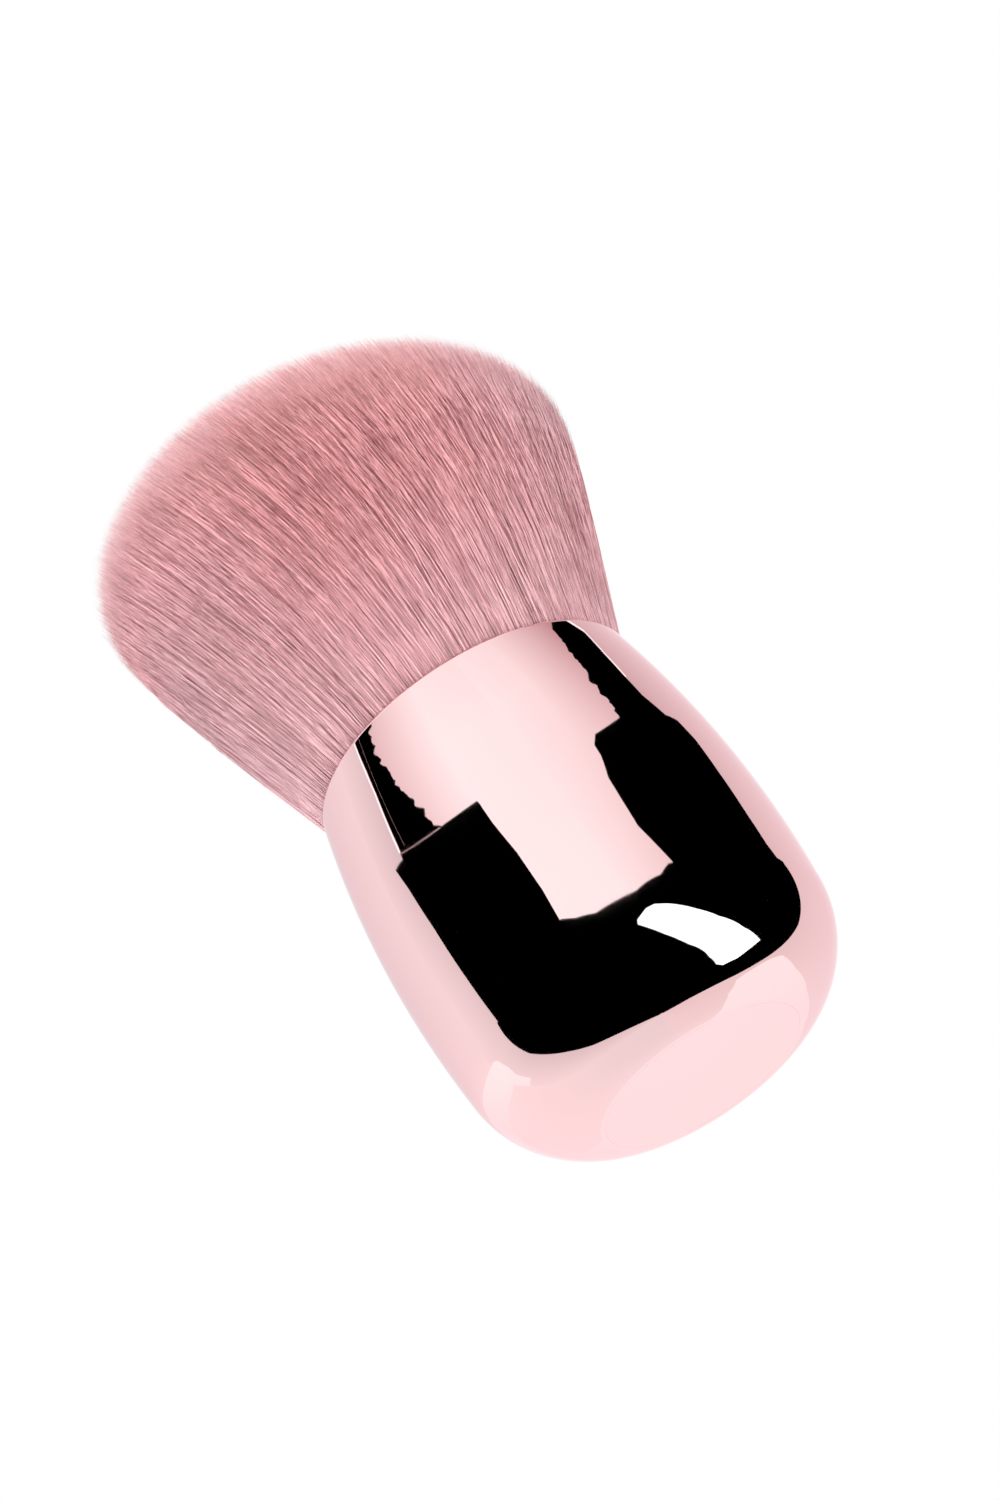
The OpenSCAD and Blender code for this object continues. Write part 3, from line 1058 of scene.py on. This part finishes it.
@dataclass(frozen=True)
class Tuft:
    """The dense tuft: a packed core, long strands down the flanks and short ones on the dome.

    The kept names are the attributes that a finished mesh of strands still carries.
    """

    shape: TuftShape = TuftShape()
    core_share: float = 0.94
    core_waist: float = 0.88
    core_depth: float = 2.3
    kept: tuple[str, ...] = (
        "tone", "clump", "along", "sharp_face", "position", ".edge_verts", ".corner_vert", ".corner_edge")
    core_columns: int = 96
    core_rows: int = 40
    layers: tuple[StrandLayer, ...] = (
        StrandLayer("tuft_flank", 27900, 4, 0.89, 1.0, 60.0, 5, 0.06, taper=4.0, clump_sway=0.5),
        StrandLayer(
            "tuft_crown", 48000, 4, 0.0, 0.985, 13.0, 3, 0.062, taper=2.5, clump_sway=0.5,
            wander=0.02, twist=1.0, wave=0.005, seed=7),
    )

    def core_ring(self, index: int) -> list[Vector]:
        """Makes one ring of the core, counted from its bottom, up the wall and over the dome.

        Args:
            index: The ring's place.

        Returns:
            Its points, in metres.
        """
        shape = self.shape
        ring = []
        for j in range(self.core_columns):
            angle = math.tau * j / self.core_columns
            if index < self.core_rows:
                rise = index / (self.core_rows - 1)
                edge_z = shape.tip_z(self.core_share, angle) - self.core_depth
                share = self.core_waist + (self.core_share - self.core_waist) * rise
                z = shape.root_z + (edge_z - shape.root_z) * rise
            else:
                share = self.core_share * (1.0 - (index - self.core_rows + 1) / (self.core_rows + 1))
                z = shape.tip_z(share, angle) - self.core_depth
            out = share * shape.radius(z)
            lean_x, lean_y = shape.lean(z)
            ring.append(Vector((out * math.cos(angle) + lean_x, out * math.sin(angle) + lean_y, z)) * MM)
        return ring

    def core(self) -> bpy.types.Mesh:
        """Builds the closed core just under the strands.

        Returns:
            The core's mesh, in metres.
        """
        shape = self.shape
        bottom = shape.root_z
        columns = self.core_columns
        rows = [self.core_ring(index) for index in range(2 * self.core_rows)]
        vertices = [vertex for row in rows for vertex in row]
        top_z = shape.tip_z(0.0, 0.0) - self.core_depth
        vertices.append(Vector((0.0, 0.0, bottom)) * MM)
        vertices.append(Vector((*shape.lean(top_z), top_z)) * MM)
        base, peak = len(vertices) - 2, len(vertices) - 1
        faces: list[tuple[int, ...]] = []
        for j in range(columns):
            after = (j + 1) % columns
            faces.append((base, after, j))
            for i in range(len(rows) - 1):
                low, high = i * columns, (i + 1) * columns
                faces.append((low + j, low + after, high + after, high + j))
            last = (len(rows) - 1) * columns
            faces.append((last + j, last + after, peak))
        mesh = bpy.data.meshes.new("tuft_core")
        mesh.from_pydata(vertices, [], faces)
        mesh.shade_smooth()
        return mesh

    def grow(self, name: str, tree: bpy.types.NodeTree, inputs: dict[StrandInput, object]) -> bpy.types.Mesh:
        """Runs the strand tree once and keeps its result as a plain mesh.

        Args:
            name: The new mesh's name.
            tree: The strand tree.
            inputs: A value for each of its inputs.

        Returns:
            The strands' mesh, in metres.
        """
        holder = bpy.data.objects.new(name + "_grower", bpy.data.meshes.new(name + "_start"))
        bpy.context.scene.collection.objects.link(holder)
        modifier = holder.modifiers.new("strands", "NODES")
        modifier.node_group = tree
        for item in tree.interface.items_tree:
            if item.in_out == "INPUT":
                modifier[item.identifier] = inputs[StrandInput(item.name)]
        depsgraph = bpy.context.evaluated_depsgraph_get()
        mesh = bpy.data.meshes.new_from_object(holder.evaluated_get(depsgraph), depsgraph=depsgraph)
        holder.modifiers.remove(modifier)
        bpy.data.objects.remove(holder)
        for helper in [entry.name for entry in mesh.attributes if entry.name not in self.kept]:
            if not mesh.attributes[helper].is_required:
                mesh.attributes.remove(mesh.attributes[helper])
        mesh.materials.clear()
        mesh.name = name
        return mesh

    def build(self) -> None:
        """Builds the core and every piece of every layer."""
        piece(self.core(), CoreFinish("packed_fibre").build(), "bristles", ["bristle_tuft"])
        fibre = FibreFinish("dyed_fibre").build()
        tree = StrandTree(self.shape).build()
        for layer in self.layers:
            for index in range(layer.pieces):
                name = f"{layer.name}_{index + 1}"
                strands = self.grow(name, tree, layer.inputs(index, fibre))
                piece(strands, fibre, "bristles", ["bristle_tuft"])


@dataclass(frozen=True)
class Innards:
    """The CAD pieces that the handle hides, each with its own finish."""

    finishes: tuple[tuple[str, GrainFinish], ...] = (
        ("base_pad", GrainFinish("foam_tape", (0.80, 0.76, 0.64), roughness=0.9, grain_depth=0.05)),
        ("weight_slug", GrainFinish("turned_steel", (0.56, 0.57, 0.58), 1.0, 0.32, 2500.0, (1.0, 1.0, 0.05))),
        ("weight_carrier", GrainFinish("moulded_carrier", (0.78, 0.78, 0.75), roughness=0.45)),
        ("ferrule_cup", GrainFinish("drawn_cup", (0.75, 0.76, 0.78), 1.0, 0.25, 1800.0, (1.0, 1.0, 0.04))),
        ("root_resin", GrainFinish("cast_resin", (0.74, 0.63, 0.40), roughness=0.2, grain_per_metre=300.0)),
        ("tie_band", GrainFinish("moulded_band", (0.86, 0.84, 0.79), roughness=0.5)),
    )

    def build(self) -> None:
        """Dresses each hidden CAD node."""
        for node, finish in self.finishes:
            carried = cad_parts[node]
            material = finish.build()
            for place in carried.material_slots:
                place.material = material
            report(carried)


@dataclass(frozen=True)
class Row:
    """One line of a card: its elevation, the azimuths of its two ends, and the light at each end.

    Azimuth 0 is the camera's side, and 90 is +X.
    """

    elevation: float
    first: float
    last: float
    first_light: float = 0.0
    last_light: float = 0.0

    def values(self) -> tuple[float, ...]:
        """Returns the five numbers in order."""
        return self.elevation, self.first, self.last, self.first_light, self.last_light

    def toward(self, other: "Row", share: float) -> "Row":
        """Returns the line that lies a share of the way to another line."""
        return Row(*(a + (b - a) * share for a, b in zip(self.values(), other.values())))


def even_rows(light: float, *ends: tuple[float, float, float]) -> tuple[Row, ...]:
    """Returns rows of one light, each from its elevation and the azimuths of its two ends."""
    return tuple(Row(*end, light, light) for end in ends)


@dataclass(frozen=True)
class Card:
    """A card on a dome round the brush, black where its rows give no light. Only mirrors show it.

    Its red part is the light to the power red_fade, so a low power turns weaker light rosier.
    """

    wide_tear: ClassVar[float] = 1.1
    fine_tear: ClassVar[float] = 3.7
    fine_tear_share: ClassVar[float] = 0.45
    fine_tear_lane: ClassVar[float] = 5.0

    name: str
    distance: float
    rows: tuple[Row, ...]
    red_fade: float = 0.6
    ragged_first: float = 0.0
    ragged_last: float = 0.0
    row_step: float = 2.0
    columns: int = 48

    def tear(self, elevation: float) -> float:
        """Works out how far a torn edge strays, from a wide wave and a fine one.

        Args:
            elevation: The elevation of the place on the edge.

        Returns:
            The stray there, as a share of the edge's raggedness.
        """
        wide = noise.noise(Vector((elevation * self.wide_tear, 0.0, 0.0)))
        fine = noise.noise(Vector((elevation * self.fine_tear, self.fine_tear_lane, 0.0)))
        return wide + self.fine_tear_share * fine

    def lines(self) -> list[Row]:
        """Fills in finer rows between the card's own, and tears its edges where it has torn ones.

        Returns:
            The rows that the card's mesh is made of.
        """
        filled: list[Row] = []
        for low, high in zip(self.rows, self.rows[1:]):
            steps = max(1, round(abs(high.elevation - low.elevation) / self.row_step))
            filled.extend(low.toward(high, i / steps) for i in range(steps))
        filled.append(self.rows[-1])
        torn = []
        for row in filled:
            tear = self.tear(row.elevation)
            first = row.first + self.ragged_first * tear
            last = row.last + self.ragged_last * tear
            torn.append(Row(row.elevation, first, last, row.first_light, row.last_light))
        return torn

    def build(self, material: bpy.types.Material) -> None:
        """Builds the card as part of the stage.

        Args:
            material: The cards' material, which reads each point's light.
        """
        vertices, lights = [], []
        lines = self.lines()
        for row in lines:
            for k in range(self.columns + 1):
                share = k / self.columns
                azimuth = row.first + (row.last - row.first) * share
                vertices.append(Studio.on_dome(azimuth, row.elevation, self.distance))
                lights.append(row.first_light + (row.last_light - row.first_light) * share)
        wide = self.columns + 1
        faces = [(i * wide + k, i * wide + k + 1, (i + 1) * wide + k + 1, (i + 1) * wide + k)
                 for i in range(len(lines) - 1) for k in range(self.columns)]
        mesh = bpy.data.meshes.new(self.name)
        mesh.from_pydata(vertices, [], faces)
        mesh.attributes.new("light", "FLOAT", "POINT").data.foreach_set("value", lights)
        reds = [light**self.red_fade for light in lights]
        mesh.attributes.new("red_light", "FLOAT", "POINT").data.foreach_set("value", reds)
        mesh.materials.append(material)
        card = bpy.data.objects.new(self.name, mesh)
        bpy.context.scene.collection.objects.link(card)
        card.visible_camera = card.visible_diffuse = card.visible_shadow = False
        card.visible_transmission = card.visible_volume_scatter = False


@dataclass(frozen=True)
class Lamp:
    """A soft square lamp that faces the brush."""

    name: str
    azimuth: float
    elevation: float
    watts: float
    colour: Colour = (1.0, 1.0, 1.0)
    distance: float = 600.0
    width: float = 350.0

    def build(self) -> None:
        """Adds the lamp."""
        data = bpy.data.lights.new(self.name, "AREA")
        data.energy = self.watts
        data.color = self.colour
        data.size = self.width * MM
        lamp = bpy.data.objects.new(self.name, data)
        lamp.location = Studio.on_dome(self.azimuth, self.elevation, self.distance)
        way = lamp.location - Studio.on_dome(0.0, 0.0, 0.0)
        lamp.rotation_euler = way.to_track_quat("Z", "Y").to_euler()
        lamp.visible_glossy = False
        bpy.context.scene.collection.objects.link(lamp)


@dataclass(frozen=True)
class Studio:
    """A white studio: world, floor, soft lamps, and the cards that the plating mirrors.

    The flags are dark cards in front of the lights, the lines are thin light edges on the flags, and the
    lights are the pale windows, strips and walls. Stops of the floor's fade are metres from its middle.
    """

    eye_height: ClassVar[float] = 20.0
    floor_gap: float = 0.1
    floor_radius: float = 1500.0
    floor_steps: int = 128
    floor_colour: Colour = (0.88, 0.87, 0.87)
    floor_grain_per_metre: float = 700.0
    floor_grain: Stops = ((0.3, 0.985), (0.7, 1.0))
    floor_fade: Stops = ((0.2, 0.0), (0.6, 1.0))
    floor_roughness: float = 0.7
    floor_gloss: float = 0.2
    world_level: float = 0.85
    blue_fade: float = 0.95
    lamps: tuple[Lamp, ...] = (
        Lamp("key_lamp", -14.0, 24.0, 3.3, (1.0, 0.95, 0.92)),
        Lamp("fill_lamp", 35.0, 20.0, 0.5, (0.95, 0.96, 1.0)),
        Lamp("top_lamp", 60.0, 70.0, 1.6),
        Lamp("side_lamp", -95.0, 45.0, 1.6, (0.94, 0.98, 1.0)),
        Lamp("back_lamp", 175.0, 20.0, 1.2),
        Lamp("right_rim_lamp", 148.0, 2.0, 0.9, (0.88, 0.96, 1.0)),
        Lamp("left_rim_lamp", -134.0, 30.0, 0.7, (0.88, 0.96, 1.0)),
    )
    flags: tuple[Card, ...] = (
        Card("flag_low", 600.0, (
            Row(-89.6, -65.0, 115.0), Row(-86.0, -62.0, 110.0), Row(-80.0, -64.0, 109.0),
            Row(-60.0, -73.0, 116.0), Row(-45.0, -75.0, 118.0), Row(-20.0, -80.0, 120.5),
            Row(13.6, -80.0, 118.5))),
        Card("flag_sill_left", 600.0, (
            Row(13.5, -20.0, 2.0), Row(14.6, -20.0, -9.0), Row(15.6, -20.0, -15.5))),
        Card("flag_sill_right", 600.0, (
            Row(13.5, 24.0, 60.0), Row(14.4, 41.0, 60.0), Row(15.4, 48.0, 60.0))),
        Card("flag_left", 600.0, (
            Row(13.0, -79.0, -17.0), Row(20.0, -80.5, -15.0), Row(26.0, -82.0, -15.5),
            Row(31.0, -85.0, -18.0), Row(33.4, -88.0, -18.5), Row(34.0, -79.0, -18.5),
            Row(34.7, -79.0, -19.0))),
        Card("flag_left_arm", 600.0, (
            Row(34.6, -79.0, -45.0), Row(35.4, -78.0, -49.0), Row(38.0, -78.0, -51.0),
            Row(42.0, -78.0, -59.5), Row(44.8, -79.0, -62.0), Row(45.4, -79.5, -65.5),
            Row(48.5, -82.0, -66.0), Row(54.0, -84.0, -57.0)),
            ragged_last=3.5, row_step=0.25),
        Card("flag_right", 600.0, (
            Row(13.0, 41.0, 118.5), Row(15.0, 51.0, 119.0), Row(18.0, 48.5, 115.0), Row(21.0, 46.0, 115.5),
            Row(25.0, 47.5, 118.0), Row(28.0, 49.0, 121.0), Row(30.0, 52.5, 120.0), Row(31.0, 54.0, 114.0),
            Row(32.5, 55.0, 112.0), Row(33.6, 60.0, 110.5))),
        Card("flag_right_arm", 600.0, (
            Row(33.5, 81.0, 110.5), Row(36.0, 84.0, 112.0), Row(38.0, 84.5, 115.0), Row(40.0, 89.0, 120.0),
            Row(42.0, 92.0, 117.0), Row(43.4, 96.0, 116.0), Row(44.6, 98.0, 108.0)),
            ragged_first=4.0, row_step=0.25),
    )
    lines: tuple[Card, ...] = (
        Card("block_edge", 597.0, (
            Row(34.62, -79.0, -46.0, 0.6, 1.0), Row(34.70, -79.0, -46.0, 0.6, 1.0)), row_step=0.1),
        Card("arm_line", 597.0, even_rows(0.6, (35.2, -73.25, -73.15), (50.0, -76.8, -76.7)), columns=2),
        Card("arm_edge_left", 597.0, even_rows(
            1.5, (34.8, -79.6, -78.2), (42.0, -79.4, -78.2), (46.0, -81.5, -80.2), (54.0, -85.5, -84.2)),
            columns=2),
        Card("arm_edge_right", 597.0, even_rows(
            1.4, (35.6, 111.8, 113.2), (38.0, 115.0, 116.6), (40.0, 120.0, 121.8), (42.0, 117.0, 119.0),
            (43.4, 116.0, 118.0)), columns=2),
    )
    lights: tuple[Card, ...] = (
        Card("strip_light", 560.0, even_rows(
            2.2, (3.5, 24.0, 29.0), (-2.0, 17.0, 36.0), (-6.0, 16.0, 40.0), (-15.0, 21.0, 49.0),
            (-25.0, 27.0, 61.0), (-35.0, 35.0, 80.0), (-41.0, 41.0, 99.0), (-55.0, 62.0, 93.0),
            (-60.5, 76.0, 85.0))),
        Card("window_left", 660.0, (
            Row(12.0, -79.0, -20.0, 0.60, 1.24), Row(44.0, -79.0, -20.0, 0.60, 1.24),
            Row(60.0, -79.0, -20.0, 0.55, 1.14))),
        Card("window_middle", 660.0, (
            Row(12.0, -20.0, 20.0, 1.24, 1.20), Row(44.0, -20.0, 20.0, 1.24, 1.17),
            Row(60.0, -20.0, 20.0, 1.14, 1.05))),
        Card("window_right", 660.0, (
            Row(12.0, 20.0, 50.0, 1.20, 0.86), Row(24.0, 20.0, 50.0, 1.18, 0.95),
            Row(34.0, 20.0, 50.0, 1.18, 1.02), Row(44.0, 20.0, 50.0, 1.20, 1.07),
            Row(60.0, 20.0, 50.0, 1.12, 1.0))),
        Card("window_far_right", 660.0, (
            Row(12.0, 50.0, 108.0, 0.86, 0.6), Row(34.0, 50.0, 108.0, 1.02, 0.45),
            Row(44.0, 50.0, 108.0, 1.07, 0.30), Row(60.0, 50.0, 108.0, 1.0, 0.30))),
        Card("ceiling_light", 650.0, (
            Row(57.0, -180.0, 180.0, 1.2, 1.2), Row(80.0, -180.0, 180.0, 1.1, 1.1)), row_step=4.0),
        Card("side_left", 660.0, (
            Row(-90.0, -103.0, -60.0, 0.90, 0.80), Row(-50.0, -103.0, -74.0, 0.98, 0.76),
            Row(-20.0, -103.0, -78.0, 1.0, 0.76), Row(0.0, -103.0, -79.0, 1.0, 0.83),
            Row(20.0, -103.0, -79.0, 1.0, 0.80), Row(33.0, -103.0, -79.0, 0.94, 0.74),
            Row(60.0, -103.0, -79.0, 0.98, 0.88)), red_fade=1.0),
        Card("side_right", 660.0, (
            Row(-90.0, 100.0, 180.0, 0.78, 0.88), Row(-62.0, 110.0, 180.0, 0.82, 0.92),
            Row(-45.0, 108.0, 180.0, 0.74, 1.04), Row(0.0, 108.0, 180.0, 0.73, 1.10),
            Row(20.0, 108.0, 180.0, 0.66, 1.14), Row(40.0, 108.0, 180.0, 0.54, 1.08),
            Row(60.0, 108.0, 180.0, 0.45, 1.0)), red_fade=0.7),
        Card("rear_left", 660.0, (
            Row(-90.0, -180.0, -103.0, 0.88, 0.90), Row(-62.0, -180.0, -103.0, 0.93, 0.95),
            Row(-45.0, -180.0, -103.0, 1.02, 1.0), Row(-25.0, -180.0, -103.0, 1.07, 1.03),
            Row(-5.0, -180.0, -103.0, 1.15, 1.07), Row(12.0, -180.0, -103.0, 1.08, 1.0),
            Row(24.0, -180.0, -103.0, 0.90, 0.98), Row(60.0, -180.0, -103.0, 0.88, 0.97)), red_fade=1.3),
        Card("foot_light", 620.0, even_rows(
            1.14, (-61.0, 126.0, 145.0), (-57.0, 122.0, 158.0), (-50.0, 121.0, 170.0),
            (-45.0, 122.0, 180.0), (-39.0, 126.0, 187.0), (-33.0, 143.0, 190.0),
            (-22.0, 160.0, 194.0), (-12.0, 169.0, 198.0))),
        Card("corner_glint", 620.0, (
            Row(-25.0, -103.0, -97.0, 1.16, 1.2), Row(-14.0, -105.0, -97.0, 1.16, 1.2),
            Row(-12.5, -112.0, -96.0, 1.16, 1.2), Row(-8.0, -123.0, -95.0, 1.16, 1.24),
            Row(0.0, -143.0, -96.0, 1.14, 1.24), Row(3.0, -160.0, -99.0, 1.12, 1.24),
            Row(7.0, -172.0, -120.0, 1.12, 1.22), Row(11.0, -172.0, -137.0, 1.12, 1.2),
            Row(14.0, -172.0, -156.0, 1.1, 1.14))),
    )

    @staticmethod
    def on_dome(azimuth: float, elevation: float, distance: float) -> Vector:
        """Finds a point as seen from the brush's middle.

        Args:
            azimuth: Its azimuth. 0 is the camera's side, and 90 is +X.
            elevation: Its elevation.
            distance: Its distance.

        Returns:
            The point, in metres.
        """
        across, up = math.radians(azimuth), math.radians(elevation)
        way = Vector((math.sin(across) * math.cos(up), -math.cos(across) * math.cos(up), math.sin(up)))
        return (Vector((0.0, 0.0, Studio.eye_height)) + way * distance) * MM

    def world(self) -> None:
        """Makes the world: white for the camera and for mirrors, and a plain level as light."""
        world = bpy.data.worlds.new("studio_air")
        bpy.context.scene.world = world
        world.use_nodes = True
        graph = Graph(world.node_tree)
        rays = graph.add("ShaderNodeLightPath")
        seen = sum(
            (Field(graph, rays.outputs[name]) for name in ("Is Glossy Ray", "Is Transmission Ray")),
            Field(graph, rays.outputs["Is Camera Ray"]))
        background = world.node_tree.nodes["Background"]
        background.inputs["Color"].default_value = opaque(WHITE)
        graph.feed(background.inputs["Strength"], graph.ramp(seen, (0.0, self.world_level), (1.0, 1.0)))

    def floor_material(self) -> bpy.types.Material:
        """Makes the floor's material, which fades to white far off.

        Returns:
            The material. From below, and for mirrors, it is clear.
        """
        material = bpy.data.materials.new("pale_floor")
        material.use_nodes = True
        graph = Graph(material.node_tree)
        shader = material.node_tree.nodes["Principled BSDF"]
        grain = graph.noise(graph.place(), self.floor_grain_per_metre, detail=3.0)
        graph.feed(shader.inputs["Base Color"], graph.scaled_colour(
            self.floor_colour, graph.ramp(grain, *self.floor_grain)))
        shader.inputs["Roughness"].default_value = self.floor_roughness
        shader.inputs["Specular IOR Level"].default_value = self.floor_gloss
        rays = graph.add("ShaderNodeLightPath")
        below = graph.field("ShaderNodeNewGeometry", output="Backfacing")
        camera = Field(graph, rays.outputs["Is Camera Ray"])
        through = graph.math("MAXIMUM", camera * below, Field(graph, rays.outputs["Is Glossy Ray"]))
        away = graph.field("ShaderNodeVectorMath", {0: graph.place()}, "Value", operation="LENGTH")
        fade = graph.ramp(away, *self.floor_fade) * camera
        white = graph.field("ShaderNodeEmission", {"Color": opaque(WHITE), "Strength": 1.0})
        clear = graph.field("ShaderNodeBsdfTransparent")
        lit = graph.field("ShaderNodeMixShader", {0: fade, 1: Field(graph, shader.outputs[0]), 2: white})
        surface = graph.field("ShaderNodeMixShader", {0: through, 1: lit, 2: clear})
        graph.feed(material.node_tree.nodes["Material Output"].inputs["Surface"], surface)
        return material

    def floor(self) -> None:
        """Makes the pale floor, which is seen from above only and which mirrors look through."""
        turns = [math.tau * j / self.floor_steps for j in range(self.floor_steps)]
        ring = [Vector((math.cos(turn), math.sin(turn), 0.0)) * self.floor_radius for turn in turns]
        lowered = Vector((0.0, 0.0, -self.floor_gap))
        mesh = bpy.data.meshes.new("floor")
        mesh.from_pydata([(point + lowered) * MM for point in ring], [], [tuple(range(self.floor_steps))])
        mesh.materials.append(self.floor_material())
        floor = bpy.data.objects.new("floor", mesh)
        bpy.context.scene.collection.objects.link(floor)

    def card_material(self) -> bpy.types.Material:
        """Makes the material of the cards, which reads each point's light and its red part.

        Returns:
            The material.
        """
        material = bpy.data.materials.new("card_light")
        material.use_nodes = True
        graph = Graph(material.node_tree)
        level = graph.attribute("light")
        parts = {0: graph.attribute("red_light"), 1: level, 2: level**self.blue_fade}
        light = graph.field("ShaderNodeEmission", {"Color": graph.field("ShaderNodeCombineXYZ", parts)})
        graph.feed(material.node_tree.nodes["Material Output"].inputs["Surface"], light)
        material.cycles.emission_sampling = "NONE"
        return material

    def build(self) -> None:
        """Builds the studio."""
        self.world()
        self.floor()
        for lamp in self.lamps:
            lamp.build()
        material = self.card_material()
        cards = self.flags + self.lines + self.lights
        for card in cards:
            card.build(material)
        LOG.info("studio: %d lamps, %d cards", len(self.lamps), len(cards))


@dataclass(frozen=True)
class Photographer:
    """The camera of the photograph: it looks up at the foot, rolled so that the brush leans left."""

    location: Axes = (1.2, -277.25, -108.1)
    upward: float = 27.49
    roll: float = -34.11
    lens: float = 85.0
    sensor: float = 36.0
    nearest: float = 5.0
    furthest: float = 20000.0

    def build(self) -> None:
        """Adds the camera and makes it the scene's."""
        data = bpy.data.cameras.new("camera")
        data.lens = self.lens
        data.sensor_width = self.sensor
        data.clip_start = self.nearest * MM
        data.clip_end = self.furthest * MM
        camera = bpy.data.objects.new("camera", data)
        tilt = Matrix.Rotation(math.radians(90.0 + self.upward), 4, "X")
        roll = Matrix.Rotation(math.radians(self.roll), 4, "Z")
        camera.matrix_world = Matrix.Translation(Vector(self.location) * MM) @ (tilt @ roll)
        bpy.context.scene.collection.objects.link(camera)
        bpy.context.scene.camera = camera


def main() -> None:
    """Builds the brush and its studio."""
    logging.basicConfig(level=logging.INFO, format="%(name)s: %(message)s")
    bpy.context.scene.view_settings.view_transform = "Standard"
    Photographer().build()
    Handle().build()
    Tuft().build()
    Innards().build()
    Studio().build()


if __name__ == "__main__":
    main()
